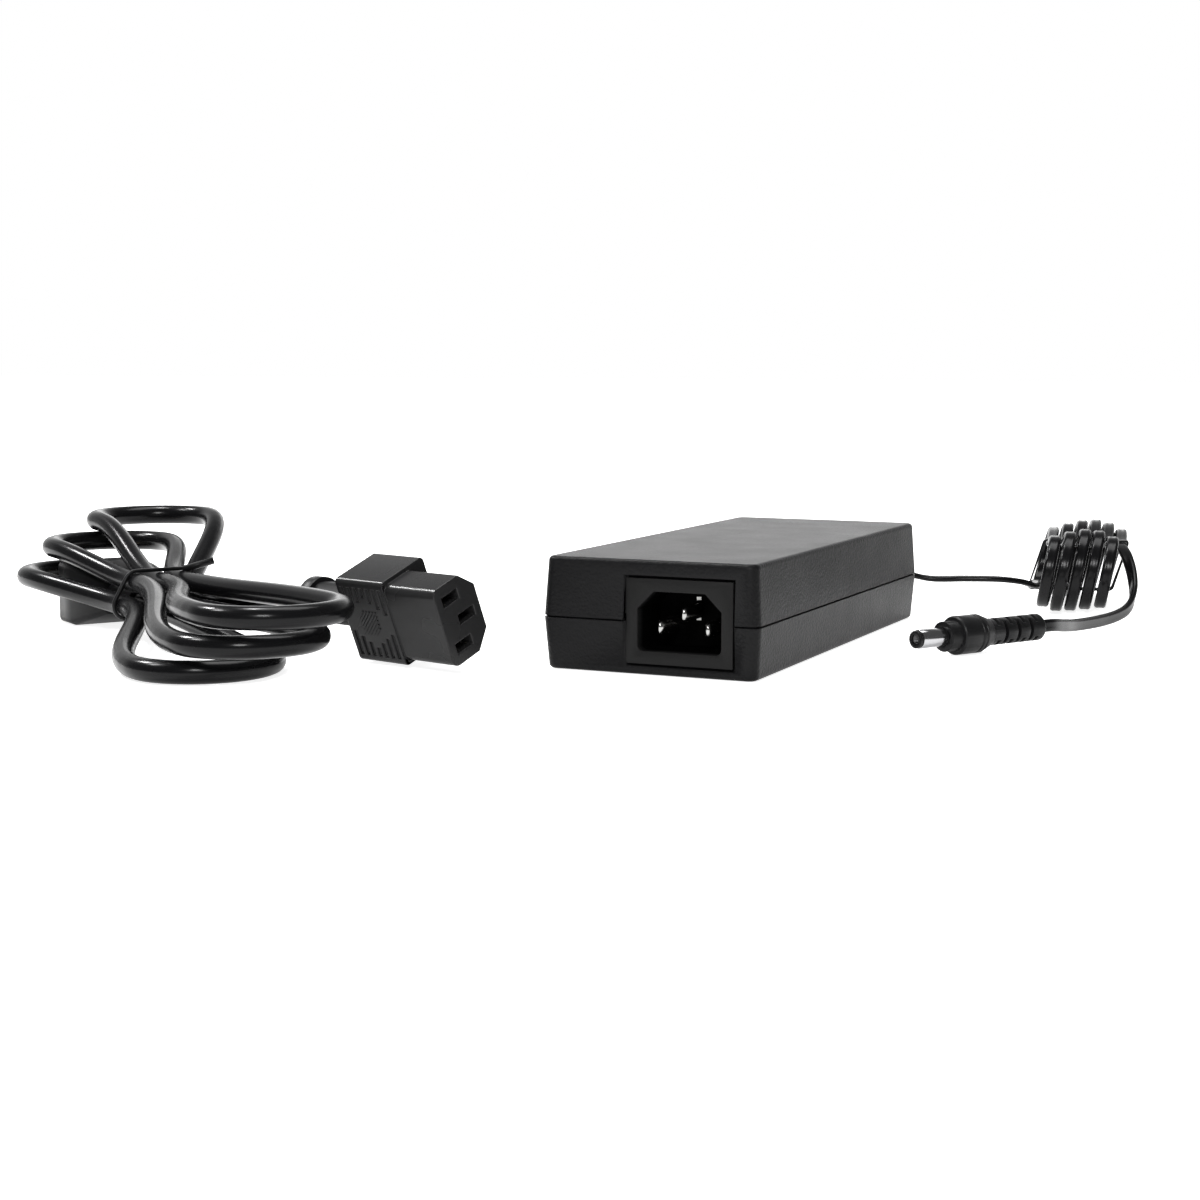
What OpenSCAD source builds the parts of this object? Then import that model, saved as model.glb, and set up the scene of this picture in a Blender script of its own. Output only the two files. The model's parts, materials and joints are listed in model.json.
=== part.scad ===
// Laptop power adapter: closed two-shell brick with its board, output lead and loose mains lead.
// Millimetres, +Z up, origin under the middle of the brick, mains inlet at the -Y end.

/* [Case] */
// Width of the brick across X
body_w = 64; // [58:0.5:72]
// Length of the brick along Y
body_l = 152; // [140:1:170]
// Height of the brick
body_h = 31.5; // [31:0.5:38]
// Height of the parting line
split_z = 14.5; // [14:0.25:16]
// Inset of the top and bottom faces on each side, from the mould draft
draft = 0.9; // [0.4:0.1:1.5]
// Plan radius of the vertical corners
corner_r = 3; // [2:0.25:5]
// Radius of the top and bottom edges
edge_r = 1.4; // [0.8:0.1:2]
// Wall of both shells
wall = 2.5; // [2:0.1:3]
// Thickness of the locating lip
lip_t = 1; // [0.8:0.1:1.2]
// Height of the locating lip
lip_h = 1.8; // [1.2:0.1:2.5]
// Clearance round the lip
fit_gap = 0.15; // [0.1:0.05:0.3]
// Height of the seam groove
seam_h = 0.5; // [0.3:0.1:0.8]
// Depth of the seam groove
seam_d = 0.6; // [0.3:0.1:0.8]

/* [Inlet] */
// Middle of the inlet across X
inlet_x = 9; // [0:0.5:12]
// Middle of the inlet above the table
inlet_z = 14.8; // [14:0.1:16]
// Width of the flange
flange_w = 31; // [30:0.5:33]
// Height of the flange
flange_h = 23.4; // [22.5:0.1:24]
// Thickness of the flange
flange_t = 1.6; // [1.2:0.1:2]
// Border of the pocket round the flange
pocket_border = 0.8; // [0.5:0.1:1.2]
// Distance of the flange face behind the parting line of the end wall
flange_in = 0.9; // [0.9:0.1:1.1]
// Width of the recess
recess_w = 24.5; // [24:0.1:25]
// Height of the recess
recess_h = 16.5; // [16:0.1:17]
// Depth of the recess
recess_d = 16; // [15:0.5:17]
// Cut of the two upper recess corners
recess_cut = 4.8; // [4:0.1:5.5]
// Wall behind and round the recess
inlet_wall = 2; // [1.5:0.1:2.5]
// Height of a flat pin
pin_h = 4; // [3.9:0.05:4.1]
// Thickness of a flat pin
pin_t = 2; // [1.9:0.05:2.1]
// Spacing of the line and neutral pins
pin_pitch = 14; // [13.5:0.1:14.5]
// Offset of the earth pin above, and of the others below, the middle
pin_rise = 2; // [1.8:0.1:2.2]
// Bevel of the pin tips
pin_bevel = 0.7; // [0.5:0.05:0.9]
// Distance of the pin tips behind the flange face
pin_in = 3; // [2.5:0.5:5]

/* [Board] */
// Clearance of the board beside the foot of the walls
board_gap = 0.6; // [0.4:0.1:1.5]
// Clearance of the board behind the inlet
board_front = 3.1; // [3:0.1:5]
// Clearance of the board before the rear pad
board_rear = 0.9; // [0.5:0.1:3]
// Thickness of the board
board_t = 1.6; // [1.2:0.1:2]
// Underside of the board above the table
board_z = 6.5; // [6:0.25:7]
// Distance of the board posts from the side edges
post_in_x = 4; // [3.5:0.1:5]
// Distance of the board posts from the end edges
post_in_y = 6; // [5:0.1:7]
// Radius of a board post
post_r = 2.5; // [2:0.25:3]
// Radius of a locating peg
peg_r = 1.4; // [1.2:0.1:1.6]
// Clearance of a peg in its hole
peg_gap = 0.1; // [0.05:0.05:0.2]
// Thickness of the insulation sheet
sheet_t = 0.4; // [0.3:0.1:0.6]

/* [Components] */
// Clearance between the tallest components and the lid
head_gap = 2.9; // [2:0.1:5]
// Diameter of the fuse caps
fuse_d = 6; // [5:0.25:7]
// Length of the fuse
fuse_l = 24; // [20:0.5:24]
// Width of the line filter capacitor
x_cap_w = 26; // [22:0.5:28]
// Depth of the line filter capacitor
x_cap_l = 9; // [7:0.5:10]
// Diameter of the filter choke core
choke_d = 24; // [20:0.5:25]
// Bore of the filter choke core
choke_bore = 12; // [10:0.5:13]
// Height of the filter choke core
choke_h = 9; // [7:0.5:11]
// Thickness of the winding on the filter choke
choke_wrap = 1.5; // [1:0.1:1.8]
// Width of the bridge rectifier
bridge_w = 20; // [17:0.5:22]
// Thickness of the bridge rectifier
bridge_t = 4.5; // [3.5:0.1:5]
// Length of the bulk capacitor
bulk_l = 32; // [26:0.5:33]
// Thickness of a heatsink
sink_t = 1.8; // [1.2:0.1:2.2]
// Length of a heatsink
sink_l = 30; // [24:0.5:31]
// Distance of a heatsink from the edge of the board
sink_in = 2.4; // [2:0.1:3]
// Width of a power transistor or rectifier
chip_w = 10; // [9:0.5:11]
// Thickness of a power transistor or rectifier
chip_t = 4.6; // [4:0.1:5]
// Width of the transformer core
core_w = 34; // [30:0.5:35]
// Depth of the transformer core
core_l = 28; // [24:0.5:29]
// Width of the middle leg of the transformer core
core_leg = 11; // [9:0.5:12]
// Width of a window in the transformer core
core_window = 6; // [5:0.25:7]
// Depth of the transformer winding
winding_l = 18; // [15:0.5:19]
// Diameter of a disc capacitor
disc_d = 9; // [7:0.25:9.5]
// Thickness of a disc capacitor
disc_t = 3; // [2.5:0.1:4]
// Length of the optocoupler
opto_w = 9; // [8:0.25:10]
// Width of the optocoupler
opto_l = 6.4; // [6:0.1:7]
// Height of the optocoupler
opto_h = 3.6; // [3:0.1:4]
// Diameter of an output capacitor
can_d = 9.6; // [8:0.1:10]
// Diameter of the output choke
drum_d = 11; // [9:0.25:12]
// Bore of the output choke
drum_bore = 4; // [3:0.25:5]
// Height of the output choke
drum_h = 12; // [9:0.5:14]
// Diameter of an output wire
wire_d = 1.6; // [1.2:0.1:2]

/* [Output lead] */
// Width of the flat twin cord
dc_w = 3.9; // [3.4:0.1:4.4]
// Thickness of the flat twin cord
dc_t = 2; // [1.8:0.1:2.4]
// Distance of the output bushing from the middle across X
bush_x = 16; // [10:0.5:18]
// Radius of the bushing neck
bush_r = 4; // [3.5:0.25:4.5]
// Length of the bushing outside the case
bush_l = 14; // [10:0.5:18]
// Number of half turns in the hank
dc_halves = 11; // [9:2:13]
// Step of the hank from turn to turn
dc_step = 4.7; // [4.6:0.1:5.2]
// Radius of the middle folds at both ends of the hank
dc_fold = 13; // [12:0.5:15]
// Share by which the outermost folds are smaller than the middle ones
dc_dome = 0.28; // [0:0.02:0.3]
// Stagger of the folds along the hank
dc_stagger = 4; // [0:0.25:4]
// Reach of the hank from its waist
dc_reach = 34; // [30:0.5:36]
// Half height of the hank in the tie
dc_waist = 7; // [6:0.25:8]

/* [Output plug] */
// Outside diameter of the barrel
barrel_d = 5.5; // [5.4:0.05:5.6]
// Bore of the barrel for the pin of the socket
bore_d = 2.5; // [2.1:0.1:2.6]
// Length of the barrel with its tip
barrel_l = 11; // [9.5:0.1:12]
// Length of the insulating tip before the barrel
tip_l = 1.2; // [0.8:0.1:1.6]
// Wall of the barrel
barrel_wall = 0.6; // [0.45:0.05:0.7]
// Step from the barrel to its insulating tip
tip_step = 0.2; // [0.2:0.05:0.4]
// Wall of the inner contact
contact_wall = 0.3; // [0.25:0.05:0.4]
// Length of the barrel's spigot in the moulded body
spigot_l = 3; // [2:0.1:3.5]
// Step from the barrel to its spigot
spigot_step = 0.2; // [0.1:0.05:0.25]
// Length of the collar
collar_l = 4; // [3.5:0.1:5]
// Diameter of the collar
collar_d = 8.8; // [8:0.1:9.5]
// Diameter of the grip
grip_d = 11.4; // [10:0.1:12]
// Length of the grip
grip_l = 13; // [11:0.5:15]
// Diameter of the ribbed relief
rib_d = 8; // [6.5:0.1:9]
// Length of the ribbed relief
rib_l = 22; // [18:0.5:24]

/* [Mains lead] */
// Diameter of the round mains cord
ac_d = 6.4; // [6:0.1:6.5]
// Step between strands in the tie
ac_step = 7.4; // [7.3:0.1:7.8]
// Radius of the folds of the hank
ac_fold = 19.4; // [19.2:0.1:19.6]
// Height of the lower row of strands in the tie
ac_row = 10.2; // [10.2:0.1:10.6]
// Thickness of the wire tie
tie_t = 1.1; // [0.9:0.1:1.4]

/* [Connector] */
// Width of the connector nose along its two live slots
nose_w = 23.4; // [22.5:0.1:23.8]
// Height of the connector nose
nose_h = 15.6; // [15:0.1:15.9]
// Length of the connector nose
nose_l = 19; // [17:0.5:20]
// Radius of the two nose edges on the live side
nose_r = 2.4; // [1.5:0.1:3]
// Cut of the two nose corners on the earth side
nose_cut = 5; // [4.5:0.1:5.5]
// Width of the connector grip
hand_w = 26; // [24:0.5:28]
// Height of the connector grip
hand_h = 18.5; // [17:0.5:20]
// Length of the connector grip
hand_l = 19; // [18:0.5:24]
// Width of a connector slot
slot_w = 4.6; // [4.3:0.05:4.8]
// Height of a connector slot
slot_t = 2.8; // [2.5:0.05:3]
// Depth of a connector slot
slot_d = 17; // [16:0.5:18]
// Distance of the contact leaves behind the connector face
leaf_in = 6; // [4:0.5:8]
// Thickness of a contact leaf
leaf_t = 0.35; // [0.3:0.05:0.4]
// Width of a slit in the connector grip
slit_w = 1.1; // [0.8:0.1:1.4]
// Step of the slits along the connector grip
slit_step = 2.5; // [2.2:0.1:2.6]
// Diameter of the connector relief
neck_d = 12; // [10:0.5:13]
// Length of the connector relief
neck_l = 22; // [18:0.5:24]

/* [Wall plug] */
// Radius of the plug relief at the plug
wall_neck_r = 5; // [4.5:0.1:5.5]
// Length of the plug relief
wall_neck_l = 18; // [16:0.5:20]
// Length of the plug body
wall_body_l = 24; // [22:0.5:25]
// Height of the plug body on its side
wall_body_h = 20; // [19:0.5:20]
// Width of the plug body
wall_body_w = 24; // [22:0.5:25]
// Spacing of the blades
blade_pitch = 12.7; // [12.5:0.1:13]
// Thickness of a blade
blade_t = 1.5; // [1.4:0.1:1.6]
// Width of a blade
blade_w = 6.3; // [6:0.1:6.6]
// Length of a blade
blade_l = 16; // [15:0.5:17]
// Diameter of the earth pin
earth_d = 4.8; // [4.7:0.05:4.9]
// Length of the earth pin
earth_l = 18; // [16:0.5:18]
// Distance from the blades to the earth pin
earth_off = 11.9; // [11.5:0.1:12]

/* [Hidden] */
$fn = 32;

e = 0.01;
front_y = -body_l / 2;
rear_y = body_l / 2;
face_y = front_y + flange_in;
seat_y = face_y + flange_t;
pad_t = 1.9;
pad_y = seat_y + pad_t;
rear_w = recess_w + 2 * 1.5;
rear_h = recess_h + 2 * 1.75;
inlet_end = face_y + recess_d + inlet_wall;
floor_z = wall;
top_z = board_z + board_t;
bush_pad_y = rear_y - wall - 1.6;
board_w = body_w - 2 * (wall + draft + board_gap);
board_y0 = inlet_end + board_front;
board_y1 = bush_pad_y - board_rear;
board_l = board_y1 - board_y0;
board_y = (board_y0 + board_y1) / 2;
post_x = board_w / 2 - post_in_x;
post_y = board_l / 2 - post_in_y;
room = body_h - wall - top_z - head_gap;
sink_x = board_w / 2 - sink_in;
core_z = 3.5;
wire_y = board_y1 - 3.5;
bush_seat_y = rear_y - 0.8;
bush_end = bush_seat_y + bush_l;
pin_z = inlet_z - pin_rise;
leg_y = inlet_end + 5;

// Sweeps: rings of "sides" points round each route point, the wide half axis along "ref"
function unit(v) = v / norm(v);
function heading(p, i) = unit(p[min(i + 1, len(p) - 1)] - p[max(i - 1, 0)]);
function side_of(t, ref) = unit(ref - (ref * t) * t);
function ring(c, t, ref, a, b, sides) = [for (k = [0:sides - 1])
  c + side_of(t, ref) * a * cos(360 * k / sides) + cross(t, side_of(t, ref)) * b * sin(360 * k / sides)];
module sweep(p, refs, a, b, sides) {
  n = len(p);
  pts = [for (i = [0:n - 1]) each ring(p[i], heading(p, i), refs[i], a, b, sides)];
  walls = [for (i = [0:n - 2], k = [0:sides - 1]) each
    [[i * sides + k, (i + 1) * sides + k, i * sides + (k + 1) % sides],
     [i * sides + (k + 1) % sides, (i + 1) * sides + k, (i + 1) * sides + (k + 1) % sides]]];
  caps = [[for (k = [0:sides - 1]) k], [for (k = [sides - 1:-1:0]) (n - 1) * sides + k]];
  polyhedron(points = pts, faces = concat(walls, caps), convexity = 10);
}
// Smooth route through hand-set points, with straight ends given by the first and last pair
function bend(a, b, c, d, t) = 0.5 * (2 * b + (c - a) * t + (2 * a - 5 * b + 4 * c - d) * t * t
  + (3 * b - a - 3 * c + d) * t * t * t);
function route(p, n) = concat([for (i = [0:len(p) - 2], k = [0:n - 1])
  bend(p[max(i - 1, 0)], p[i], p[i + 1], p[min(i + 2, len(p) - 1)], k / n)], [p[len(p) - 1]]);
// Route from p heading along u to q heading along v
function glide(p, u, q, v, n) = let (s = norm(q - p)) [for (i = [0:n]) let (t = i / n)
  (2 * t * t * t - 3 * t * t + 1) * p + (t * t * t - 2 * t * t + t) * s * u + (3 * t * t - 2 * t * t * t) * q
  + (t * t * t - t * t) * s * v];
function run_length(p) = [for (i = 0, s = 0; i < len(p);
  s = s + (i + 1 < len(p) ? norm(p[i + 1] - p[i]) : 0), i = i + 1) s][len(p) - 1];
// Least distance between points of one route that are more than "skip" places apart
function least(p, skip) = min([for (i = [0:len(p) - 1 - skip], j = [i + skip:len(p) - 1])
  norm(p[i] - p[j])]);
function ease(x) = (1 - cos(180 * x)) / 2;

// Hank of the mains cord: three loops drawn in at a tie, along u, with slots (v, w) in the tie
ac_tie = [-168, -67];
ac_az = -32;
ac_row2 = ac_row + 0.9 * ac_step;
ac_slots = [[1.5 * ac_step, ac_row], [0, ac_row2], [ac_step, ac_row2], [-ac_step, ac_row2],
  [0.5 * ac_step, ac_row], [-1.5 * ac_step, ac_row], [-0.5 * ac_step, ac_row]];
// Reach, sideways offset and height of the rear bows and of the front bows
ac_rear = [[80, 22, 31.4], [72, 4, 24], [71, -5, 15]];
ac_front = [[119, -8, 19.5], [113, -12, 11.5], [97, -18, 3.4]];
function bow(side, q, a, z, first) = let (b = ac_fold, s = q[0] - ac_fold) concat(
  [for (i = [0:6]) let (x = i / 7, k = ease(x))
    [side * s * x, a[0] + (q[1] + first * b - a[0]) * k, a[1] + (q[2] - a[1]) * k]],
  [for (i = [0:9]) let (t = 18 * i) [side * (s + b * sin(t)), q[1] + first * b * cos(t), q[2]]],
  [for (i = [0:6]) let (x = 1 - i / 7, k = ease(x))
    [side * s * x, z[0] + (q[1] - first * b - z[0]) * k, z[1] + (q[2] - z[1]) * k]]);
ac_in = ac_d + 0.6;
ac_local = concat([[ac_in, ac_slots[0][0], ac_slots[0][1]]],
  [for (k = [0:2]) each concat(bow(-1, ac_rear[k], ac_slots[2 * k], ac_slots[2 * k + 1], 1),
    bow(1, ac_front[k], ac_slots[2 * k + 1], ac_slots[2 * k + 2], -1))],
  [[0, ac_slots[6][0], ac_slots[6][1]], [-ac_in, ac_slots[6][0], ac_slots[6][1]]]);
function ac_world(q) = [ac_tie[0] + q[0] * cos(ac_az) - q[1] * sin(ac_az),
  ac_tie[1] + q[0] * sin(ac_az) + q[1] * cos(ac_az), q[2]];
ac_hank = [for (q = ac_local) ac_world(q)];

// Connector on the mains cord, lying on a corner of its grip
hand_roll = 22;
hand_az = -16;
hand_z = hand_w / 2 * cos(hand_roll) + hand_h / 2 * sin(hand_roll) + 0.05;
hand_pos = [-46.5, -95, hand_z];
hand_out = [cos(hand_az), sin(hand_az), 0];
neck_end = hand_pos - (nose_l + hand_l + neck_l) * hand_out;
ac_first = ac_world([ac_in, ac_slots[0][0], ac_slots[0][1]]);
ac_back = [cos(ac_az), sin(ac_az), 0];
ac_lead_in = neck_end - ac_d * hand_out;
ac_lead_out = ac_first + ac_d * ac_back;
ac_lead = concat([neck_end], glide(ac_lead_in, -hand_out, ac_lead_out, -ac_back, 14), [ac_first]);

// Hank of the flat output cord: turns side by side, drawn in at a tie, leaning a little
dc_mid = [74, 131, dc_fold + 1.2];
dc_az = 11;
dc_tilt = 12;
dc_lean = tan(dc_tilt);
dc_across = [cos(dc_az), sin(dc_az), 0];
dc_along = [-sin(dc_az), cos(dc_az), 0];
function dc_round(h) = dc_fold * (1 - dc_dome * pow((2 * h + 1) / dc_halves - 1, 2));
function dc_high(s, r) = dc_waist + (r - dc_waist) * ease(min(1, s));
// One half turn over the far end from the lower to the upper run, "up" -1 for the way back
function dc_half(h) = let (up = h % 2 == 0 ? 1 : -1, r = dc_round(h),
  far = dc_reach - r + dc_stagger * sin(137 * h)) concat(
  [for (i = [0:2]) let (x = i / 3) [h / 2 + x / 8, up * far * x, -up * dc_high(x, r)]],
  [for (i = [0:5]) let (t = 30 * i) [h / 2 + 0.125 + i / 24, up * (far + r * sin(t)), -up * r * cos(t)]],
  [for (i = [0:2]) let (x = 1 - i / 3) [h / 2 + 0.375 + i / 24, up * far * x, up * dc_high(x, r)]]);
function dc_world(q) = dc_mid + (dc_step * (q[0] - dc_halves / 4) + dc_lean * q[2]) * dc_across
  + q[1] * dc_along + [0, 0, q[2]];
dc_local = concat([for (h = [0:dc_halves - 1]) each dc_half(h)], [[dc_halves / 2, 0, dc_waist]]);
dc_hank = [for (q = dc_local) dc_world(q)];
dc_first = dc_hank[0];
dc_last = dc_hank[len(dc_hank) - 1];
dc_lead_in = [[bush_x, bush_end, split_z], [bush_x + 0.3, bush_end + 6, split_z - 0.4],
  [20, 101.5, 11.8], [28.5, 105, 9.8], [40, 107, 10.1], [51, 110, 10.1], [58, 115, 9]];
dc_lead = route(concat(dc_lead_in, [dc_first - 7 * dc_along - 0.5 * dc_across, dc_first]), 5);

// Output plug on the table
plug_az = 59;
plug_tip = [58, -17, grip_d / 2 + 0.05];
plug_dir = [cos(plug_az), sin(plug_az), 0];
plug_l = barrel_l + collar_l + grip_l + rib_l;
plug_end = plug_tip + plug_l * plug_dir;
dc_tail_in = [[92.3, 121.5, 18.4], [95.4, 114, 13.6], [97.4, 106.5, 8.2], [97.6, 98.5, 4.4], [96, 89, 2.6],
  [92.8, 74, 2.2], [89.2, 55, 3], [88.2, 41, 4.5]];
dc_tail = route(concat([dc_last, dc_last - 5 * dc_along - [0, 0, 0.2]], dc_tail_in,
  [plug_end + 6 * plug_dir, plug_end]), 6);
dc_tail_refs = [for (i = [0:len(dc_tail) - 1]) let (a = 90 * ease(min(1, i / 34)))
  cos(a) * dc_across + [0, 0, sin(a)]];

echo(mains_gap = least(ac_hank, 8) - ac_d, output_gap = least(dc_hank, 8) * cos(dc_tilt) - dc_w);
echo(mains_length = run_length(ac_lead) + run_length(ac_hank),
  output_length = run_length(dc_lead) + run_length(dc_hank) + run_length(dc_tail));

// Rounded rectangle, made of squares and circles so that its prism stays exact
module plate2d(w, l, r) {
  square([w - 2 * r, l], center = true);
  square([w, l - 2 * r], center = true);
  for (x = [-1, 1], y = [-1, 1]) translate([x * (w / 2 - r), y * (l / 2 - r)]) circle(r);
}
module ring_prism(out, inn, z0, z1) {
  translate([0, 0, z0]) linear_extrude(z1 - z0) difference() {
    plate2d(body_w - 2 * out, body_l - 2 * out, max(0.6, corner_r - out));
    plate2d(body_w - 2 * inn, body_l - 2 * inn, max(0.6, corner_r - inn));
  }
}
module rounded_disc(r, er) {
  rotate_extrude() {
    square([r - er, er]);
    intersection() {
      translate([r - er, 0]) circle(er);
      translate([r - er, 0]) square(er);
    }
  }
}
// Half of the case form: widest at z = 0 and drawn in to the outer face at height h
module half_form(inset, h, er) {
  cr = max(0.8, corner_r - inset);
  x = body_w / 2 - inset - cr;
  y = body_l / 2 - inset - cr;
  hull() for (sx = [-1, 1], sy = [-1, 1]) {
    translate([sx * x, sy * y, 0]) cylinder(r = cr, h = 0.1);
    translate([sx * (x - draft), sy * (y - draft), h - er]) rounded_disc(cr, er);
  }
}
// Thicker wall behind the inlet flange and the output bushing, with flat faces
module end_pads(low, high) {
  translate([inlet_x - flange_w / 2 - 2, front_y, low]) cube([flange_w + 4, pad_y - front_y, high - low]);
  translate([bush_x - 8, bush_pad_y, low]) cube([16, rear_y - bush_pad_y, high - low]);
}
module box_at(x, y0, z, w, l, h) {
  translate([x - w / 2, y0, z - h / 2]) cube([w, l, h]);
}
module end_cuts() {
  box_at(inlet_x, front_y - 1, inlet_z, flange_w + 2 * pocket_border, seat_y - front_y + 1,
    flange_h + 2 * pocket_border);
  box_at(inlet_x, front_y, inlet_z, rear_w + 2 * fit_gap, 10, rear_h + 2 * fit_gap);
  translate([bush_x, bush_pad_y - 1, split_z]) rotate([-90, 0, 0]) cylinder(r = bush_r + fit_gap, h = 8);
  translate([bush_x, bush_seat_y, split_z]) rotate([-90, 0, 0]) cylinder(r = bush_r + 1.7, h = 5);
}
module top_shell() {
  color([0.05, 0.05, 0.055]) difference() {
    translate([0, 0, split_z]) half_form(0, body_h - split_z, edge_r);
    difference() {
      translate([0, 0, split_z - e]) half_form(wall, body_h - wall - split_z, 0.6);
      end_pads(split_z - 1, body_h);
    }
    ring_prism(wall - lip_t - fit_gap, wall + 0.5, split_z - e, split_z + lip_h + fit_gap);
    ring_prism(-1, seam_d, split_z - e, split_z + seam_h);
    end_cuts();
  }
}
module bottom_shell() {
  color([0.05, 0.05, 0.055]) {
    difference() {
      union() {
        difference() {
          translate([0, 0, split_z]) mirror([0, 0, 1]) half_form(0, split_z, edge_r);
          difference() {
            translate([0, 0, split_z + e]) mirror([0, 0, 1]) half_form(wall, split_z - wall + e, 0.6);
            end_pads(0, split_z + 1);
          }
        }
        difference() {
          ring_prism(wall - lip_t, wall + 0.3, split_z - 1, split_z + lip_h);
          end_pads(split_z - 2, split_z + 3);
        }
      }
      end_cuts();
    }
    for (x = [-1, 1], y = [-1, 1]) translate([x * post_x, board_y + y * post_y, floor_z - 0.2]) {
      cylinder(r = post_r, h = board_z - floor_z + 0.2);
      cylinder(r = peg_r, h = board_z + board_t + 0.4 - floor_z + 0.2);
    }
    for (x = [-8, 8]) translate([inlet_x + x - 1, pad_y + 4, floor_z - 0.2])
      cube([2, 7, inlet_z - rear_h / 2 - floor_z + 0.2]);
  }
}
module recess2d() {
  w = recess_w / 2;
  h = recess_h / 2;
  r = 1.7;
  c = recess_cut;
  polygon([[-w, -h + r], [-w, h - c], [-w + c, h], [w - c, h], [w, h - c], [w, -h + r], [w - r, -h],
    [-w + r, -h]]);
  for (x = [-1, 1]) translate([x * (w - r), -h + r]) circle(r);
}
module at_inlet(y) {
  translate([inlet_x, y, inlet_z]) rotate([90, 0, 0]) children();
}
module pin_holes() {
  for (p = [[-pin_pitch / 2, -pin_rise], [pin_pitch / 2, -pin_rise], [0, pin_rise]])
    box_at(inlet_x + p[0], face_y + recess_d - 1, inlet_z + p[1], pin_t, inlet_wall + 2, pin_h);
}
module inlet_housing() {
  color([0.045, 0.045, 0.05]) difference() {
    union() {
      box_at(inlet_x, face_y, inlet_z, flange_w, flange_t, flange_h);
      box_at(inlet_x, face_y, inlet_z, rear_w, inlet_end - face_y, rear_h);
      box_at(inlet_x, pad_y, inlet_z, rear_w + 4, 2, rear_h - 6);
    }
    at_inlet(face_y + recess_d) linear_extrude(recess_d + 1) recess2d();
    pin_holes();
  }
}
// Flat pin with a tip bevelled on four sides, through the inlet and bent down to the board
module flat_pin(x, z) {
  color([0.75, 0.75, 0.74]) {
    tip = face_y + pin_in;
    low = z - pin_h / 2;
    high = z + pin_h / 2;
    flat = pin_t / 2;
    back = tip + 2 * pin_bevel;
    intersection() {
      translate([x - flat, 0, 0]) rotate([90, 0, 90]) linear_extrude(pin_t) polygon([
        [tip, low + pin_bevel], [back, low], [leg_y - 2, low], [leg_y - 2, top_z], [leg_y, top_z],
        [leg_y, high], [back, high], [tip, high - pin_bevel]]);
      translate([x, 0, top_z - 1]) linear_extrude(body_h) polygon([[-flat + pin_bevel, tip], [-flat, back],
        [-flat, leg_y + 1], [flat, leg_y + 1], [flat, back], [flat - pin_bevel, tip]]);
    }
  }
}
module line_pin() {
  flat_pin(inlet_x - pin_pitch / 2, pin_z);
}
module neutral_pin() {
  flat_pin(inlet_x + pin_pitch / 2, pin_z);
}
module earth_pin() {
  flat_pin(inlet_x, inlet_z + pin_rise);
}
module insulation_sheet() {
  color([0.85, 0.83, 0.7]) difference() {
    translate([-board_w / 2, board_y - board_l / 2 + 8, floor_z]) cube([board_w, board_l - 8, sheet_t]);
    for (x = [-1, 1], y = [-1, 1]) translate([x * post_x, board_y + y * post_y, 0])
      cylinder(r = post_r + peg_gap, h = 10);
  }
}
module circuit_board() {
  color([0.1, 0.32, 0.16]) difference() {
    translate([-board_w / 2, board_y - board_l / 2, board_z]) cube([board_w, board_l, board_t]);
    for (x = [-1, 1], y = [-1, 1]) translate([x * post_x, board_y + y * post_y, 0])
      cylinder(r = peg_r + peg_gap, h = 20);
  }
}
// Place on the board, as a share of its width from the middle and of its length from the inlet end
module on_board(fx, fy) {
  translate([fx * board_w, board_y0 + fy * board_l, top_z]) children();
}
// Place beside one of the long edges, where the heatsinks stand
module at_edge(side, fy) {
  translate([side * sink_x, board_y0 + fy * board_l, top_z]) children();
}
module brick(w, l, h) {
  translate([-w / 2, -l / 2, 0]) cube([w, l, h]);
}
module lying(r, l) {
  translate([0, -l / 2, r]) rotate([-90, 0, 0]) cylinder(r = r, h = l);
}
module fuse() {
  cap = 5;
  color([0.8, 0.78, 0.7]) on_board(-0.28, 0.13) {
    translate([0, 0, 0.5]) lying(fuse_d / 2 - 0.5, fuse_l - 2 * cap + 0.2);
    for (y = [-1, 1]) translate([0, y * (fuse_l - cap) / 2, 0]) lying(fuse_d / 2, cap);
  }
}
module x_capacitor() {
  color([0.75, 0.65, 0.2]) on_board(0.12, 0.118) brick(x_cap_w, x_cap_l, room - 2);
}
module choke_core() {
  color([0.2, 0.21, 0.2]) on_board(-0.21, 0.352) translate([0, 0, choke_wrap]) rotate_extrude()
    translate([choke_bore / 2, 0]) square([(choke_d - choke_bore) / 2, choke_h]);
}
module choke_winding() {
  ring_w = (choke_d - choke_bore) / 2;
  color([0.65, 0.32, 0.14]) on_board(-0.21, 0.352) for (a = [25, 205]) rotate([0, 0, a])
    rotate_extrude(angle = 130) difference() {
      translate([choke_bore / 2 - choke_wrap, 0])
        square([ring_w + 2 * choke_wrap, choke_h + 2 * choke_wrap]);
      translate([choke_bore / 2, choke_wrap]) square([ring_w, choke_h]);
    }
}
module bridge_rectifier() {
  color([0.06, 0.06, 0.06]) on_board(0.28, 0.224) brick(bridge_w, bridge_t, room - 3);
}
module bulk_capacitor() {
  color([0.08, 0.09, 0.14]) on_board(0.28, 0.448) lying(room / 2, bulk_l);
}
module primary_heatsink() {
  color([0.7, 0.7, 0.72]) at_edge(-1, 0.552) brick(sink_t, sink_l, room - 1);
}
module switching_transistor() {
  color([0.06, 0.06, 0.06]) at_edge(-1, 0.52) translate([(sink_t + chip_t) / 2, 0, 0])
    brick(chip_t, chip_w, room - 3);
}
module transformer_core() {
  color([0.22, 0.22, 0.23]) on_board(-0.036, 0.728) translate([0, 0, core_z]) difference() {
    brick(core_w, core_l, room - 2 * core_z);
    for (x = [-1, 1]) translate([x * (core_leg + core_window) / 2, 0, -1])
      brick(core_window, winding_l, room - 2 * core_z + 2);
  }
}
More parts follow.
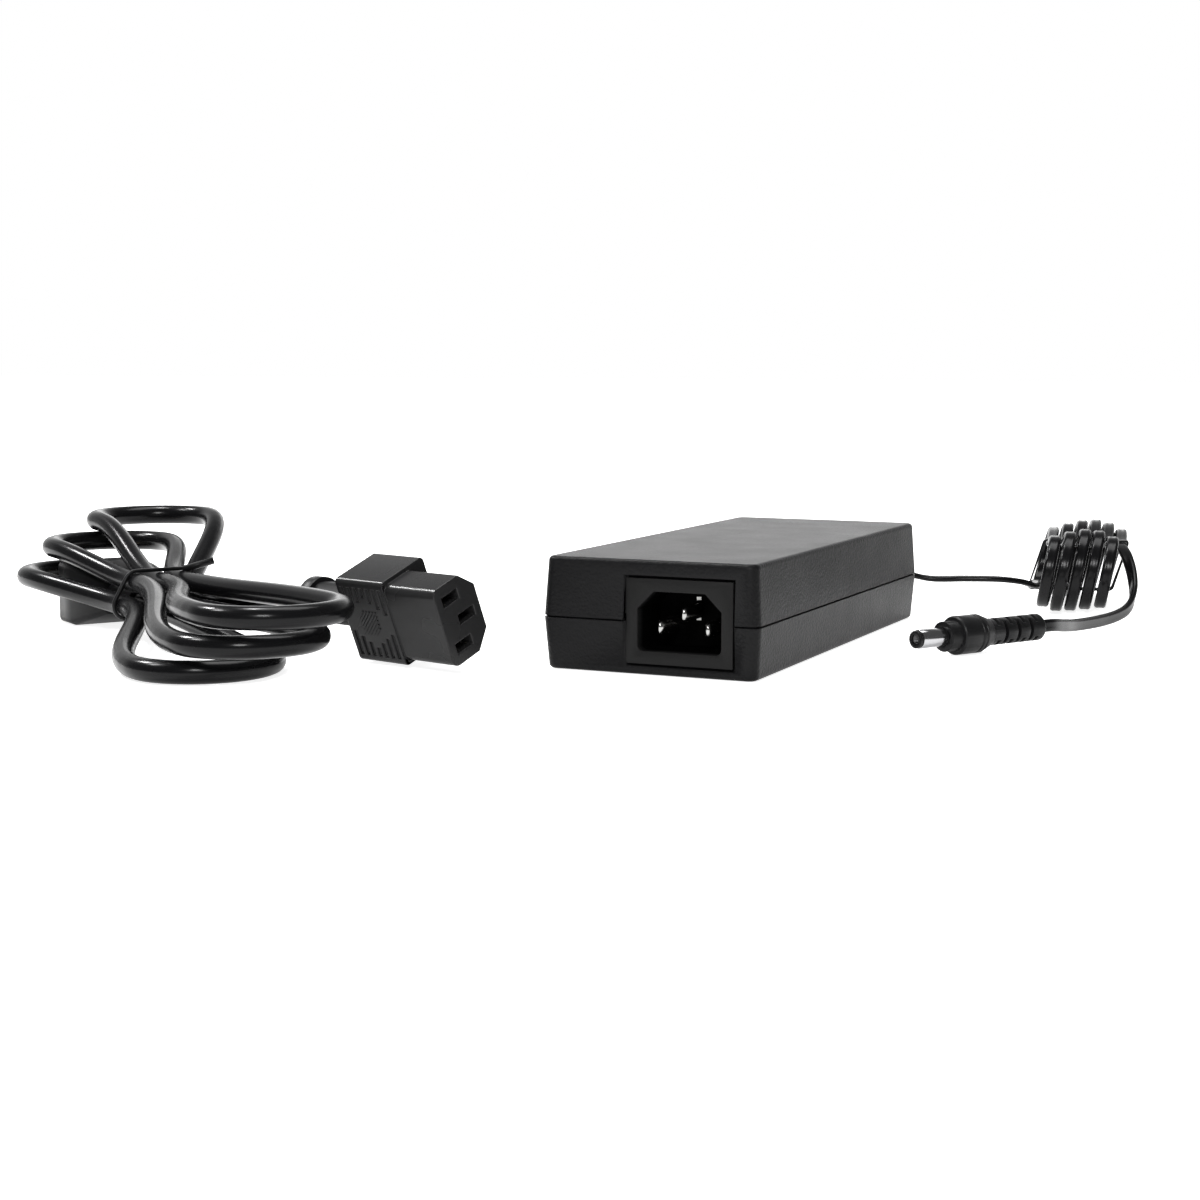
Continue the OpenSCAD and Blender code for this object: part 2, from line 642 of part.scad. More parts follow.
module transformer_winding() {
  color([0.8, 0.7, 0.25]) on_board(-0.036, 0.728) difference() {
    brick(core_leg + 2 * core_window, winding_l, room);
    translate([0, 0, core_z]) brick(core_leg, core_l, room - 2 * core_z);
  }
}
module y_capacitors() {
  color([0.2, 0.35, 0.7]) for (fx = [-0.232, -0.045]) on_board(fx, 0.504)
    translate([0, -disc_t / 2, disc_d / 2]) rotate([-90, 0, 0]) cylinder(d = disc_d, h = disc_t);
}
module optocoupler() {
  color([0.08, 0.08, 0.08]) on_board(-0.16, 0.568) brick(opto_w, opto_l, opto_h);
}
module secondary_heatsink() {
  color([0.7, 0.7, 0.72]) at_edge(1, 0.752) brick(sink_t, sink_l, room - 1);
}
module output_rectifier() {
  color([0.06, 0.06, 0.06]) at_edge(1, 0.752) translate([-(sink_t + chip_t) / 2, 0, 0])
    brick(chip_t, chip_w, room - 3);
}
module output_capacitors() {
  color([0.1, 0.1, 0.16]) for (fx = [-0.322, -0.122, 0.078]) on_board(fx, 0.912)
    cylinder(d = can_d, h = room);
}
module output_choke() {
  color([0.6, 0.35, 0.16]) on_board(0.322, 0.896) difference() {
    cylinder(d = drum_d, h = drum_h);
    translate([0, 0, -1]) cylinder(d = drum_bore, h = drum_h + 2);
  }
}
module output_wires() {
  color([0.6, 0.1, 0.1]) for (x = [-1.2, 1.2]) translate([bush_x + x, wire_y, 0]) {
    translate([0, 0, split_z]) rotate([-90, 0, 0]) cylinder(d = wire_d, h = bush_pad_y - 1.5 - wire_y);
    translate([0, 0, top_z]) cylinder(d = wire_d, h = split_z - top_z);
    translate([0, 0, split_z]) sphere(d = wire_d, $fn = 16);
  }
}
module dc_bushing() {
  color([0.05, 0.05, 0.055]) translate([bush_x, bush_pad_y - 1.5, split_z]) rotate([-90, 0, 0]) {
    neck = bush_seat_y - bush_pad_y + 1.5;
    difference() {
      rotate_extrude() polygon([[0, 0], [bush_r + 1.5, 0], [bush_r + 1.5, 1.5], [bush_r, 1.5],
        [bush_r, neck], [bush_r + 1.5, neck], [bush_r + 1.5, neck + 1.8], [bush_r, neck + 2.4],
        [3, neck + bush_l], [0, neck + bush_l]]);
      for (i = [0:2]) translate([-6, i % 2 == 0 ? 1.4 : -6, neck + 4 + 3 * i]) cube([12, 4.6, 1.2]);
    }
  }
}
module dc_cord_lead() {
  color([0.05, 0.05, 0.055]) sweep(dc_lead, [for (p = dc_lead) [0.7, -0.7, 0]], dc_w / 2, dc_t / 2, 8);
}
module dc_cord_hank() {
  color([0.05, 0.05, 0.055]) sweep(dc_hank, [for (p = dc_hank) dc_across], dc_w / 2, dc_t / 2, 6);
}
module dc_cord_tail() {
  color([0.05, 0.05, 0.055]) sweep(dc_tail, dc_tail_refs, dc_w / 2, dc_t / 2, 8);
}
module dc_waist2d(r) {
  hull() for (s = [-1, 1], z = [-1, 1])
    translate([s * dc_step * dc_halves / 4 + dc_lean * z * dc_waist, z * dc_waist]) circle(r, $fn = 16);
}
module dc_cord_tie() {
  color([0.06, 0.06, 0.06]) translate(dc_mid) rotate([0, 0, dc_az]) rotate([90, 0, 0])
    linear_extrude(3, center = true) difference() {
      dc_waist2d(3.2);
      dc_waist2d(2.3);
    }
}
module at_plug() {
  translate(plug_tip) rotate([0, 0, plug_az]) rotate([0, 90, 0]) children();
}
module dc_plug_body() {
  g = barrel_l + collar_l;
  n = g + grip_l;
  color([0.05, 0.05, 0.055]) at_plug() difference() {
    rotate_extrude() polygon(concat([[0, barrel_l], [collar_d / 2, barrel_l], [collar_d / 2, g],
      [grip_d / 2 - 0.4, g], [grip_d / 2, g + 0.5]],
      [for (z = [n - 6.4, n - 4.8]) each [[grip_d / 2, z], [grip_d / 2 - 0.25, z + 0.2],
        [grip_d / 2 - 0.25, z + 0.6], [grip_d / 2, z + 0.8]]],
      [[grip_d / 2, n - 4], [rib_d / 2 + 0.2, n], [rib_d / 2, n], [rib_d / 2, plug_l - 1],
        [rib_d / 2 - 0.8, plug_l], [0, plug_l]]));
    translate([0, 0, barrel_l - 1]) cylinder(d = barrel_d - 2 * spigot_step, h = spigot_l + 1);
    for (i = [0:6], s = [0, 1]) rotate([0, 0, 90 * (i % 2) + 180 * s])
      translate([2.2, -5, n + 1.8 + 2.6 * i]) cube([5, 10, 1.3]);
  }
}
// Plain barrel from the tip to the collar, with a thinner spigot held in the body
module dc_plug_barrel() {
  color([0.8, 0.8, 0.8]) at_plug() difference() {
    union() {
      translate([0, 0, tip_l]) cylinder(d = barrel_d, h = barrel_l - tip_l);
      translate([0, 0, tip_l]) cylinder(d = barrel_d - 2 * spigot_step, h = barrel_l + spigot_l - tip_l);
    }
    translate([0, 0, -1]) cylinder(d = barrel_d - 2 * barrel_wall, h = barrel_l + spigot_l + 2);
  }
}
module dc_plug_insulator() {
  color([0.05, 0.05, 0.05]) at_plug() difference() {
    union() {
      cylinder(d = barrel_d - 2 * tip_step, h = tip_l);
      cylinder(d = barrel_d - 2 * barrel_wall, h = barrel_l + spigot_l);
    }
    translate([0, 0, -1]) cylinder(d = bore_d + 2 * contact_wall, h = barrel_l + spigot_l + 2);
  }
}
module dc_plug_contact() {
  color([0.8, 0.78, 0.7]) at_plug() difference() {
    translate([0, 0, 0.6]) cylinder(d = bore_d + 2 * contact_wall, h = barrel_l + spigot_l - 0.6);
    translate([0, 0, -1]) cylinder(d = bore_d, h = barrel_l + 1.6);
  }
}
module at_connector() {
  translate(hand_pos) rotate([0, 0, hand_az]) rotate([0, 90, 0]) rotate([0, 0, hand_roll]) children();
}
module nose2d() {
  w = nose_w / 2;
  h = nose_h / 2;
  polygon([[-w, nose_r - h], [nose_r - w, -h], [w - nose_r, -h], [w, nose_r - h], [w, h - nose_cut],
    [w - nose_cut, h], [nose_cut - w, h], [-w, h - nose_cut]]);
  for (x = [-1, 1]) translate([x * (w - nose_r), nose_r - h]) circle(nose_r);
}
slots = [[-pin_pitch / 2, -pin_rise], [pin_pitch / 2, -pin_rise], [0, pin_rise]];
module connector_body() {
  color([0.05, 0.05, 0.055]) at_connector() difference() {
    union() {
      translate([0, 0, -nose_l]) linear_extrude(nose_l) nose2d();
      translate([0, 0, -nose_l - hand_l]) linear_extrude(hand_l) plate2d(hand_w, hand_h, 1.5);
    }
    for (s = slots) translate([s[0] - slot_w / 2, s[1] - slot_t / 2, -slot_d])
      cube([slot_w, slot_t, slot_d + 1]);
    for (k = [-3:3], s = [0, 1]) translate([0, 0, -nose_l - hand_l / 2 + slit_step * k]) mirror([s, 0, 0])
      translate([8 - 1.6 * abs(k), -hand_h / 2 - 1, -slit_w / 2]) cube([2.6 + 1.6 * abs(k), 1.7, slit_w]);
  }
}
module connector_contacts() {
  color([0.75, 0.68, 0.4]) at_connector() for (s = slots) translate([s[0] - slot_w / 2, s[1], -slot_d]) {
    translate([0, -slot_t / 2, 0]) cube([slot_w, slot_t, 1]);
    for (y = [-slot_t / 2, slot_t / 2 - leaf_t]) translate([0, y, 0])
      cube([slot_w, leaf_t, slot_d - leaf_in]);
  }
}
module connector_relief() {
  color([0.05, 0.05, 0.055]) at_connector() translate([0, 0, -nose_l - hand_l - neck_l]) {
    cylinder(d = neck_d, h = neck_l);
    cylinder(d = neck_d + 2.5, h = 4);
  }
}
module mains_cord_lead() {
  color([0.04, 0.04, 0.045]) sweep(ac_lead, [for (p = ac_lead) [0, 0, 1]], ac_d / 2, ac_d / 2, 12);
}
module mains_cord_hank() {
  color([0.04, 0.04, 0.045]) sweep(ac_hank, [for (p = ac_hank) [0, 0, 1]], ac_d / 2, ac_d / 2, 6);
}
module ac_waist2d(r) {
  hull() for (s = ac_slots) translate([s[0], s[1]]) circle(r, $fn = 24);
}
module mains_cord_tie() {
  color([0.05, 0.05, 0.05]) translate([ac_tie[0], ac_tie[1], 0]) rotate([0, 0, ac_az]) rotate([90, 0, 90]) {
    linear_extrude(tie_t, center = true) difference() {
      ac_waist2d(ac_d / 2 + 0.15 + tie_t);
      ac_waist2d(ac_d / 2 + 0.15);
    }
    translate([ac_step, ac_row2 + ac_d / 2 + 0.3, 0]) rotate([0, 70, 0]) rotate([-15, 0, 0])
      cylinder(d = 2 * tie_t, h = 10, $fn = 12);
  }
}
module at_wall_plug() {
  translate(ac_hank[len(ac_hank) - 1]) rotate([0, 0, ac_az + 180]) rotate([0, 90, 0]) children();
}
module mains_plug_relief() {
  color([0.05, 0.05, 0.055]) at_wall_plug() cylinder(r1 = ac_d / 2 + 0.5, r2 = wall_neck_r, h = wall_neck_l);
}
module mains_plug_body() {
  color([0.05, 0.05, 0.055]) at_wall_plug() translate([0, 0, wall_neck_l]) difference() {
    hull() {
      translate([0, 0, 0]) linear_extrude(0.1) plate2d(11, 11, 2);
      translate([0, 0, 13]) linear_extrude(wall_body_l - 13) plate2d(wall_body_h, wall_body_w, 2);
    }
    for (x = [-1, 1]) translate([x * blade_pitch / 2, -4, wall_body_l - 6]) blade(8);
    translate([0, earth_off - 4, wall_body_l - 6]) cylinder(d = earth_d, h = 8);
  }
}
module blade(l) {
  translate([-blade_t / 2, -blade_w / 2, 0]) cube([blade_t, blade_w, l]);
}
module mains_plug_blades() {
  color([0.8, 0.75, 0.55]) at_wall_plug() for (x = [-1, 1])
    translate([x * blade_pitch / 2, -4, wall_neck_l + wall_body_l - 6]) blade(blade_l + 6);
}
module mains_plug_earth_pin() {
  color([0.8, 0.75, 0.55]) at_wall_plug() translate([0, earth_off - 4, wall_neck_l + wall_body_l - 6]) {
    cylinder(d = earth_d, h = earth_l + 6 - earth_d / 2);
    translate([0, 0, earth_l + 6 - earth_d / 2]) sphere(d = earth_d);
  }
}

top_shell();
bottom_shell();
inlet_housing();
line_pin();
neutral_pin();
earth_pin();
insulation_sheet();
circuit_board();
fuse();
x_capacitor();
choke_core();
choke_winding();
bridge_rectifier();
bulk_capacitor();
primary_heatsink();
switching_transistor();
transformer_core();
transformer_winding();
y_capacitors();
optocoupler();
secondary_heatsink();
output_rectifier();
output_capacitors();
output_choke();
output_wires();
dc_bushing();
dc_cord_lead();
dc_cord_hank();
dc_cord_tail();
dc_cord_tie();
dc_plug_body();
dc_plug_barrel();
dc_plug_insulator();
dc_plug_contact();
connector_body();
connector_contacts();
connector_relief();
mains_cord_lead();
mains_cord_hank();
mains_cord_tie();
mains_plug_relief();
mains_plug_body();
mains_plug_blades();
mains_plug_earth_pin();
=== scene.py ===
import json
import math

import bpy
import numpy as np
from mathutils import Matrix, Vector


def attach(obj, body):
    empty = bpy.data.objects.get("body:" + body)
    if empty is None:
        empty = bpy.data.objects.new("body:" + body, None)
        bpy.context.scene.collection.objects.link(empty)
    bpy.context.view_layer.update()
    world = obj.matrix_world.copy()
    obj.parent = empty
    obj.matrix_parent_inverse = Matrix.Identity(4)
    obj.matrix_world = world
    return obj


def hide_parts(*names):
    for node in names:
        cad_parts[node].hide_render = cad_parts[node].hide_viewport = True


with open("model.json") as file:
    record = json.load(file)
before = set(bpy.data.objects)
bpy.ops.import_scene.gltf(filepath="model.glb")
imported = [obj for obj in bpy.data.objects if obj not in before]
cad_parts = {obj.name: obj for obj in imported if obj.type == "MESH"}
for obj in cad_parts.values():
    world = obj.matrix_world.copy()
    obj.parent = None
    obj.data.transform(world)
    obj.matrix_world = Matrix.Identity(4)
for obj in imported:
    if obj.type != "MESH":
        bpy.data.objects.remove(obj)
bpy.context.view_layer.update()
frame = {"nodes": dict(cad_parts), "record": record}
node = frame["nodes"]
scene = bpy.context.scene
MM = 0.001
UP = np.array([0.0, 0.0, 1.0])

# Camera: the photographed view, in metres and degrees
CAM_PLACE = (0.21534, -0.57442, 0.08665)
CAM_DOWN = 6.92
CAM_TURN = 24.71
CAM_SENSOR = 36.0
CAM_LENS = 60.61
CAM_NEAR = 0.02
CAM_FAR = 30.0


def make_camera():
    data = bpy.data.cameras.new("camera")
    data.sensor_width = CAM_SENSOR
    data.lens = CAM_LENS
    data.clip_start = CAM_NEAR
    data.clip_end = CAM_FAR
    camera = bpy.data.objects.new("camera", data)
    camera.location = CAM_PLACE
    camera.rotation_euler = (math.radians(90 - CAM_DOWN), 0, math.radians(CAM_TURN))
    bpy.context.collection.objects.link(camera)
    scene.camera = camera


make_camera()


# Curves that the routes are made of
def unit(v):
    v = np.asarray(v, float)
    return v / np.linalg.norm(v)


def level(azimuth):
    """Horizontal unit vector at an azimuth in radians."""
    return np.array([math.cos(azimuth), math.sin(azimuth), 0])


def ease(x):
    """0 to 1 with level ends."""
    return (1 - math.cos(math.pi * x)) / 2


def glide(p, u, q, v, n):
    """Curve of n steps from p along u to q along v."""
    p, u, q, v = (np.asarray(a, float) for a in (p, u, q, v))
    s = np.linalg.norm(q - p)
    out = []
    for i in range(n + 1):
        t = i / n
        out.append((2 * t**3 - 3 * t**2 + 1) * p + (t**3 - 2 * t**2 + t) * s * u
                   + (3 * t**2 - 2 * t**3) * q + (t**3 - t**2) * s * v)
    return out


def route(p, n):
    """Smooth curve through the points p, in n steps from each to the next."""
    p = [np.asarray(a, float) for a in p]
    out = []
    for i in range(len(p) - 1):
        a, b, c, d = p[max(i - 1, 0)], p[i], p[i + 1], p[min(i + 2, len(p) - 1)]
        for k in range(n):
            t = k / n
            out.append(0.5 * (2 * b + (c - a) * t + (2 * a - 5 * b + 4 * c - d) * t * t
                              + (3 * b - a - 3 * c + d) * t**3))
    return out + [p[-1]]


def even(p, step):
    """The same path in equal steps of about the length given."""
    p = np.asarray(p)
    s = np.r_[0, np.cumsum(np.linalg.norm(np.diff(p, axis=0), axis=1))]
    t = np.linspace(0, s[-1], int(s[-1] / step) + 1)
    return np.stack([np.interp(t, s, p[:, k]) for k in range(3)], 1)


# Connector of the mains lead: sizes in millimetres on its own axes, nose along +z from the grip
NOSE_W = 23.4
NOSE_H = 15.6
NOSE_L = 19
NOSE_R = 2.4
NOSE_CUT = 5
NOSE_IN = 4  # how far the drawn nose reaches into the grip
GRIP_W = 26
GRIP_H = 18.5
GRIP_L = 19
GRIP_R = 1.5
GRIP_NEAR = 8.2  # from the axis to the drawn near side, almost flush with the nose
NECK_L = 22
SLOTS = ((-7, -2), (7, -2), (0, 2))
SLOT_X = 2.9
SLOT_Y = 6.2
SLOT_D = 17
LEAF_IN = 6
LEAF_T = 0.35
LEAF_BASE = 1
SLITS = 3  # on each side of the middle one
SLIT_W = 1.1
SLIT_D = 0.7
SLIT_STEP = 2.5
SLIT_OUTER = 10.6
SLIT_INNER = 8
SLIT_GROW = 1.6
HATCHES = 4  # on each side of the middle one
HATCH_STEP = 0.62
HATCH_RUN = 3.6
HATCH_W = 0.32
HATCH_DEEP = 0.5
HATCH_OUT = 0.02
FLOOR_GAP = 0.05
HAND_AZ = math.radians(-16)
HAND_ROLL = math.radians(22)
HAND_Z = GRIP_W / 2 * math.cos(HAND_ROLL) + GRIP_H / 2 * math.sin(HAND_ROLL) + FLOOR_GAP
HAND_POS = np.array([-46.5, -95, HAND_Z])
HAND_OUT = level(HAND_AZ)


def on_connector(p):
    """From the connector's own axes to the place where it lies."""
    c, s = math.cos(HAND_ROLL), math.sin(HAND_ROLL)
    x, y, z = c * p[0] - s * p[1], s * p[0] + c * p[1], p[2]
    c, s = math.cos(HAND_AZ), math.sin(HAND_AZ)
    return HAND_POS + np.array([c * z - s * y, s * z + c * y, -x])


# Route of the mains cord, the same as the solids' in millimetres: three turns tied at the waist
AC_D = 6.4
AC_STEP = 7.4
AC_FOLD = 19.4
AC_ROW = 10.2
AC_NEST = 0.9  # rise of the upper row, as a share of the step
AC_ROW2 = AC_ROW + AC_NEST * AC_STEP
AC_CLEAR = 0.6
AC_IN = AC_D + AC_CLEAR
AC_TIE = np.array([-168.0, -67.0, 0.0])
AC_AZ = math.radians(-32)
AC_U = level(AC_AZ)
AC_V = np.array([-AC_U[1], AC_U[0], 0])
# Places of the strands at the waist, across and up
AC_SLOTS = [(1.5 * AC_STEP, AC_ROW), (0, AC_ROW2), (AC_STEP, AC_ROW2), (-AC_STEP, AC_ROW2),
            (0.5 * AC_STEP, AC_ROW), (-1.5 * AC_STEP, AC_ROW), (-0.5 * AC_STEP, AC_ROW)]
# Farthest point of each bow: reach, across and up
AC_REAR = [(80, 22, 31.4), (72, 4, 24), (71, -5, 15)]
AC_FRONT = [(119, -8, 19.5), (113, -12, 11.5), (97, -18, 3.4)]
AC_LEAD_STEPS = 24
AC_RUN_STEPS = 16
AC_HEAD_STEPS = 24
AC_DRAW_STEP = 1.5
AC_ROUND = 7  # how finely the tube is rounded


def ac_world(q):
    return AC_TIE + q[0] * AC_U + q[1] * AC_V + q[2] * UP


def bow(side, far, start, end, first):
    """One bow of the hank: out from start at the waist, round the head and back to end."""
    reach, across, up = far[0] - AC_FOLD, far[1], far[2]
    out = []
    for i in range(AC_RUN_STEPS):
        k = ease(i / AC_RUN_STEPS)
        out.append((side * reach * i / AC_RUN_STEPS, start[0] + (across + first * AC_FOLD - start[0]) * k,
                    start[1] + (up - start[1]) * k))
    for i in range(AC_HEAD_STEPS):
        t = math.pi * i / AC_HEAD_STEPS
        out.append((side * (reach + AC_FOLD * math.sin(t)), across + first * AC_FOLD * math.cos(t), up))
    for i in range(AC_RUN_STEPS):
        x = 1 - i / AC_RUN_STEPS
        k = ease(x)
        out.append((side * reach * x, end[0] + (across - first * AC_FOLD - end[0]) * k,
                    end[1] + (up - end[1]) * k))
    return out


def mains_route():
    neck = HAND_POS - (NOSE_L + GRIP_L + NECK_L) * HAND_OUT
    first = ac_world((AC_IN, *AC_SLOTS[0]))
    lead = glide(neck - AC_D * HAND_OUT, -HAND_OUT, first + AC_D * AC_U, -AC_U, AC_LEAD_STEPS)
    local = []
    for k in range(len(AC_REAR)):
        local += bow(-1, AC_REAR[k], AC_SLOTS[2 * k], AC_SLOTS[2 * k + 1], 1)
        local += bow(1, AC_FRONT[k], AC_SLOTS[2 * k + 1], AC_SLOTS[2 * k + 2], -1)
    local += [(0, *AC_SLOTS[-1]), (-AC_IN, *AC_SLOTS[-1])]
    return np.array([neck] + lead + [first] + [ac_world(q) for q in local])


# Route of the output cord, the same as the solids' in millimetres: half turns side by side
DC_W = 3.9
DC_T = 2.0
DC_STEP = 4.7
DC_FOLD = 13.0
DC_FOLD_LESS = 0.28  # how strongly the folds shrink toward the hank's ends
DC_REACH = 34.0
DC_SCATTER = 4
DC_SCATTER_TURN = 137
DC_WAIST = 7.0
DC_HALVES = 11
DC_LIFT = 1.2  # from the floor to the lowest fold's middle line
DC_MID = np.array([74, 131, DC_FOLD + DC_LIFT])
DC_AZ = math.radians(11)
DC_LEAN = math.tan(math.radians(12))
DC_ACROSS = level(DC_AZ)
DC_ALONG = np.array([-DC_ACROSS[1], DC_ACROSS[0], 0])
DC_RUN_STEPS = 6
DC_HEAD_STEPS = 12
RUN_SHARE = 1 / 8  # of a whole step sideways, in each straight run
HEAD_SHARE = 1 / 4  # and in each head
PLUG_TIP = np.array([58, -17, 5.75])
PLUG_DIR = level(math.radians(59))
PLUG_L = 50
PLUG_EASE = 6
DC_LEAD = [(16, 89.2, 14.5), (16.3, 95.2, 14.1), (20, 101.5, 11.8), (28.5, 105, 9.8), (40, 107, 10.1),
           (51, 110, 10.1), (58, 115, 9)]
DC_TAIL = [(92.3, 121.5, 18.4), (95.4, 114, 13.6), (97.4, 106.5, 8.2), (97.6, 98.5, 4.4), (96, 89, 2.6),
           (92.8, 74, 2.2), (89.2, 55, 3), (88.2, 41, 4.5)]
DC_JOIN_IN = -7 * DC_ALONG - 0.5 * DC_ACROSS  # the lead's last point, from the hank's first
DC_JOIN_OUT = -5 * DC_ALONG - 0.2 * UP  # the tail's first point, from the hank's last
DC_ROUTE_STEPS = 8
DC_TURN_SPAN = 34 / 6  # points of the tail in which the flat cord turns from lying to standing
LEAD_WIDE = (0.7, -0.7, 0)


def dc_world(q):
    across = DC_STEP * (q[0] - DC_HALVES / 4) + DC_LEAN * q[2]
    return DC_MID + across * DC_ACROSS + q[1] * DC_ALONG + q[2] * UP


def dc_half(h):
    """Half turn h of the hank: steps sideways, along and up."""
    up = 1 if h % 2 == 0 else -1
    fold = DC_FOLD * (1 - DC_FOLD_LESS * ((2 * h + 1) / DC_HALVES - 1) ** 2)
    far = DC_REACH - fold + DC_SCATTER * math.sin(math.radians(DC_SCATTER_TURN * h))

    def high(x):
        return DC_WAIST + (fold - DC_WAIST) * ease(min(1, x))

    out = []
    for i in range(DC_RUN_STEPS):
        x = i / DC_RUN_STEPS
        out.append((h / 2 + RUN_SHARE * x, up * far * x, -up * high(x)))
    for i in range(DC_HEAD_STEPS):
        t = math.pi * i / DC_HEAD_STEPS
        out.append((h / 2 + RUN_SHARE + HEAD_SHARE * i / DC_HEAD_STEPS, up * (far + fold * math.sin(t)),
                    -up * fold * math.cos(t)))
    for i in range(DC_RUN_STEPS):
        x = 1 - i / DC_RUN_STEPS
        share = RUN_SHARE + HEAD_SHARE + RUN_SHARE * i / DC_RUN_STEPS
        out.append((h / 2 + share, up * far * x, up * high(x)))
    return out


def output_route():
    """Points of the cord, and the direction of its wide side at each."""
    hank = [dc_world(q) for h in range(DC_HALVES) for q in dc_half(h)]
    hank.append(dc_world((DC_HALVES / 2, 0, DC_WAIST)))
    first, last = hank[0], hank[-1]
    end = PLUG_TIP + PLUG_L * PLUG_DIR
    lead = route(DC_LEAD + [first + DC_JOIN_IN, first], DC_ROUTE_STEPS)
    tail = route([last, last + DC_JOIN_OUT] + DC_TAIL + [end + PLUG_EASE * PLUG_DIR, end], DC_ROUTE_STEPS)
    wide = [LEAD_WIDE] * len(lead) + [tuple(DC_ACROSS)] * (len(hank) - 1)
    for i in range(1, len(tail)):
        a = math.pi / 2 * ease(min(1, i / DC_ROUTE_STEPS / DC_TURN_SPAN))
        wide.append(tuple(math.cos(a) * DC_ACROSS + math.sin(a) * UP))
    return np.array(lead + hank[1:] + tail[1:]), wide


# Materials
GRAIN_DETAIL = 2.0
MOTTLE_SCALE = 60.0
SMOOTHEST = 0.02
CASE_GRAIN = (1300, 0.00022, 0.8)  # scale, height in metres and strength
FINE_GRAIN = (1800, 0.00003, 0.3)
CORD_GRAIN = (900, 0.00004, 0.15)
RUBBER_GRAIN = (1500, 0.00003, 0.3)


def material(name, color, rough, metal=0.0, spec=0.5, grain=None, mottle=0.0):
    """Plain surface with an optional fine grain and an uneven gloss."""
    m = bpy.data.materials.new(name)
    m.use_nodes = True
    nt = m.node_tree
    bsdf = nt.nodes["Principled BSDF"]
    bsdf.inputs["Base Color"].default_value = (*color, 1)
    bsdf.inputs["Roughness"].default_value = rough
    bsdf.inputs["Metallic"].default_value = metal
    bsdf.inputs["Specular IOR Level"].default_value = spec
    place = nt.nodes.new("ShaderNodeTexCoord")
    if grain:
        scale, height, strength = grain
        noise = nt.nodes.new("ShaderNodeTexNoise")
        noise.inputs["Scale"].default_value = scale
        noise.inputs["Detail"].default_value = GRAIN_DETAIL
        nt.links.new(place.outputs["Object"], noise.inputs["Vector"])
        bump = nt.nodes.new("ShaderNodeBump")
        bump.inputs["Strength"].default_value = strength
        bump.inputs["Distance"].default_value = height
        nt.links.new(noise.outputs["Fac"], bump.inputs["Height"])
        nt.links.new(bump.outputs["Normal"], bsdf.inputs["Normal"])
    if mottle:
        soft = nt.nodes.new("ShaderNodeTexNoise")
        soft.inputs["Scale"].default_value = MOTTLE_SCALE
        nt.links.new(place.outputs["Object"], soft.inputs["Vector"])
        ramp = nt.nodes.new("ShaderNodeMapRange")
        ramp.inputs["To Min"].default_value = max(SMOOTHEST, rough - mottle)
        ramp.inputs["To Max"].default_value = rough + mottle
        nt.links.new(soft.outputs["Fac"], ramp.inputs["Value"])
        nt.links.new(ramp.outputs["Result"], bsdf.inputs["Roughness"])
    return m


LOOKS = {
    "case_plastic": dict(color=(0.009, 0.009, 0.0095), rough=0.36, spec=0.1, grain=CASE_GRAIN, mottle=0.05),
    "inlet_plastic": dict(color=(0.016, 0.016, 0.0165), rough=0.36, spec=0.26, grain=FINE_GRAIN,
                          mottle=0.03),
    "pin_metal": dict(color=(0.42, 0.42, 0.41), rough=0.2, metal=1.0, mottle=0.04),
    "sheet": dict(color=(0.75, 0.73, 0.6), rough=0.4, mottle=0.05),
    "board": dict(color=(0.02, 0.12, 0.05), rough=0.4, mottle=0.05),
    "component_dark": dict(color=(0.02, 0.02, 0.022), rough=0.4, mottle=0.05),
    "component_light": dict(color=(0.6, 0.58, 0.5), rough=0.4, mottle=0.05),
    "film_yellow": dict(color=(0.6, 0.45, 0.08), rough=0.35, mottle=0.05),
    "ferrite": dict(color=(0.05, 0.05, 0.055), rough=0.6, mottle=0.05),
    "copper": dict(color=(0.55, 0.22, 0.08), rough=0.3, metal=1.0, mottle=0.05),
    "sink": dict(color=(0.7, 0.7, 0.72), rough=0.35, metal=1.0, mottle=0.05),
    "disc_blue": dict(color=(0.05, 0.12, 0.45), rough=0.4, mottle=0.05),
    "wire_red": dict(color=(0.4, 0.02, 0.02), rough=0.4, mottle=0.05),
    "cord": dict(color=(0.005, 0.005, 0.0055), rough=0.22, spec=0.16, grain=CORD_GRAIN, mottle=0.05),
    "plug_rubber": dict(color=(0.008, 0.008, 0.0085), rough=0.38, spec=0.2, grain=RUBBER_GRAIN, mottle=0.04),
    "barrel_metal": dict(color=(0.45, 0.45, 0.46), rough=0.16, metal=1.0, mottle=0.03),
    "blade_metal": dict(color=(0.8, 0.68, 0.42), rough=0.25, metal=1.0, mottle=0.05),
}
MATS = {name: material(name, **look) for name, look in LOOKS.items()}
CONNECTOR = material("connector_plastic", (0.019, 0.019, 0.0194), 0.27, spec=0.2, grain=FINE_GRAIN,
                     mottle=0.03)
# Painted highlights: a bright, rough metal for two dots that stand in for glints on the inlet's back wall.
GLINT_METAL = material("glint_dot_metal", (0.6, 0.6, 0.58), 0.4, metal=1.0, mottle=0.03)
# Painted shade: the plug's contact in its bore takes a near-black metal, so the bore reads dark.
SHADED_CONTACT = material("contact_painted_shade", (0.08, 0.08, 0.082), 0.4, metal=1.0, mottle=0.03)
# Inlet housing material with painted shade: its colour and specular level fade from the front face to a
# tenth of that deep inside the inlet.
SHADED_RECESS = material("inlet_painted_shade", (0.012, 0.012, 0.0125), 0.48, spec=0.12, grain=FINE_GRAIN, mottle=0.03)
RECESS_TOP = {"Base Color": 0.012, "Specular IOR Level": 0.12}
RECESS_LEFT = 0.1  # share that is left deep inside
RECESS_FRONT_Y = -0.075
RECESS_DARK_Y = -0.071


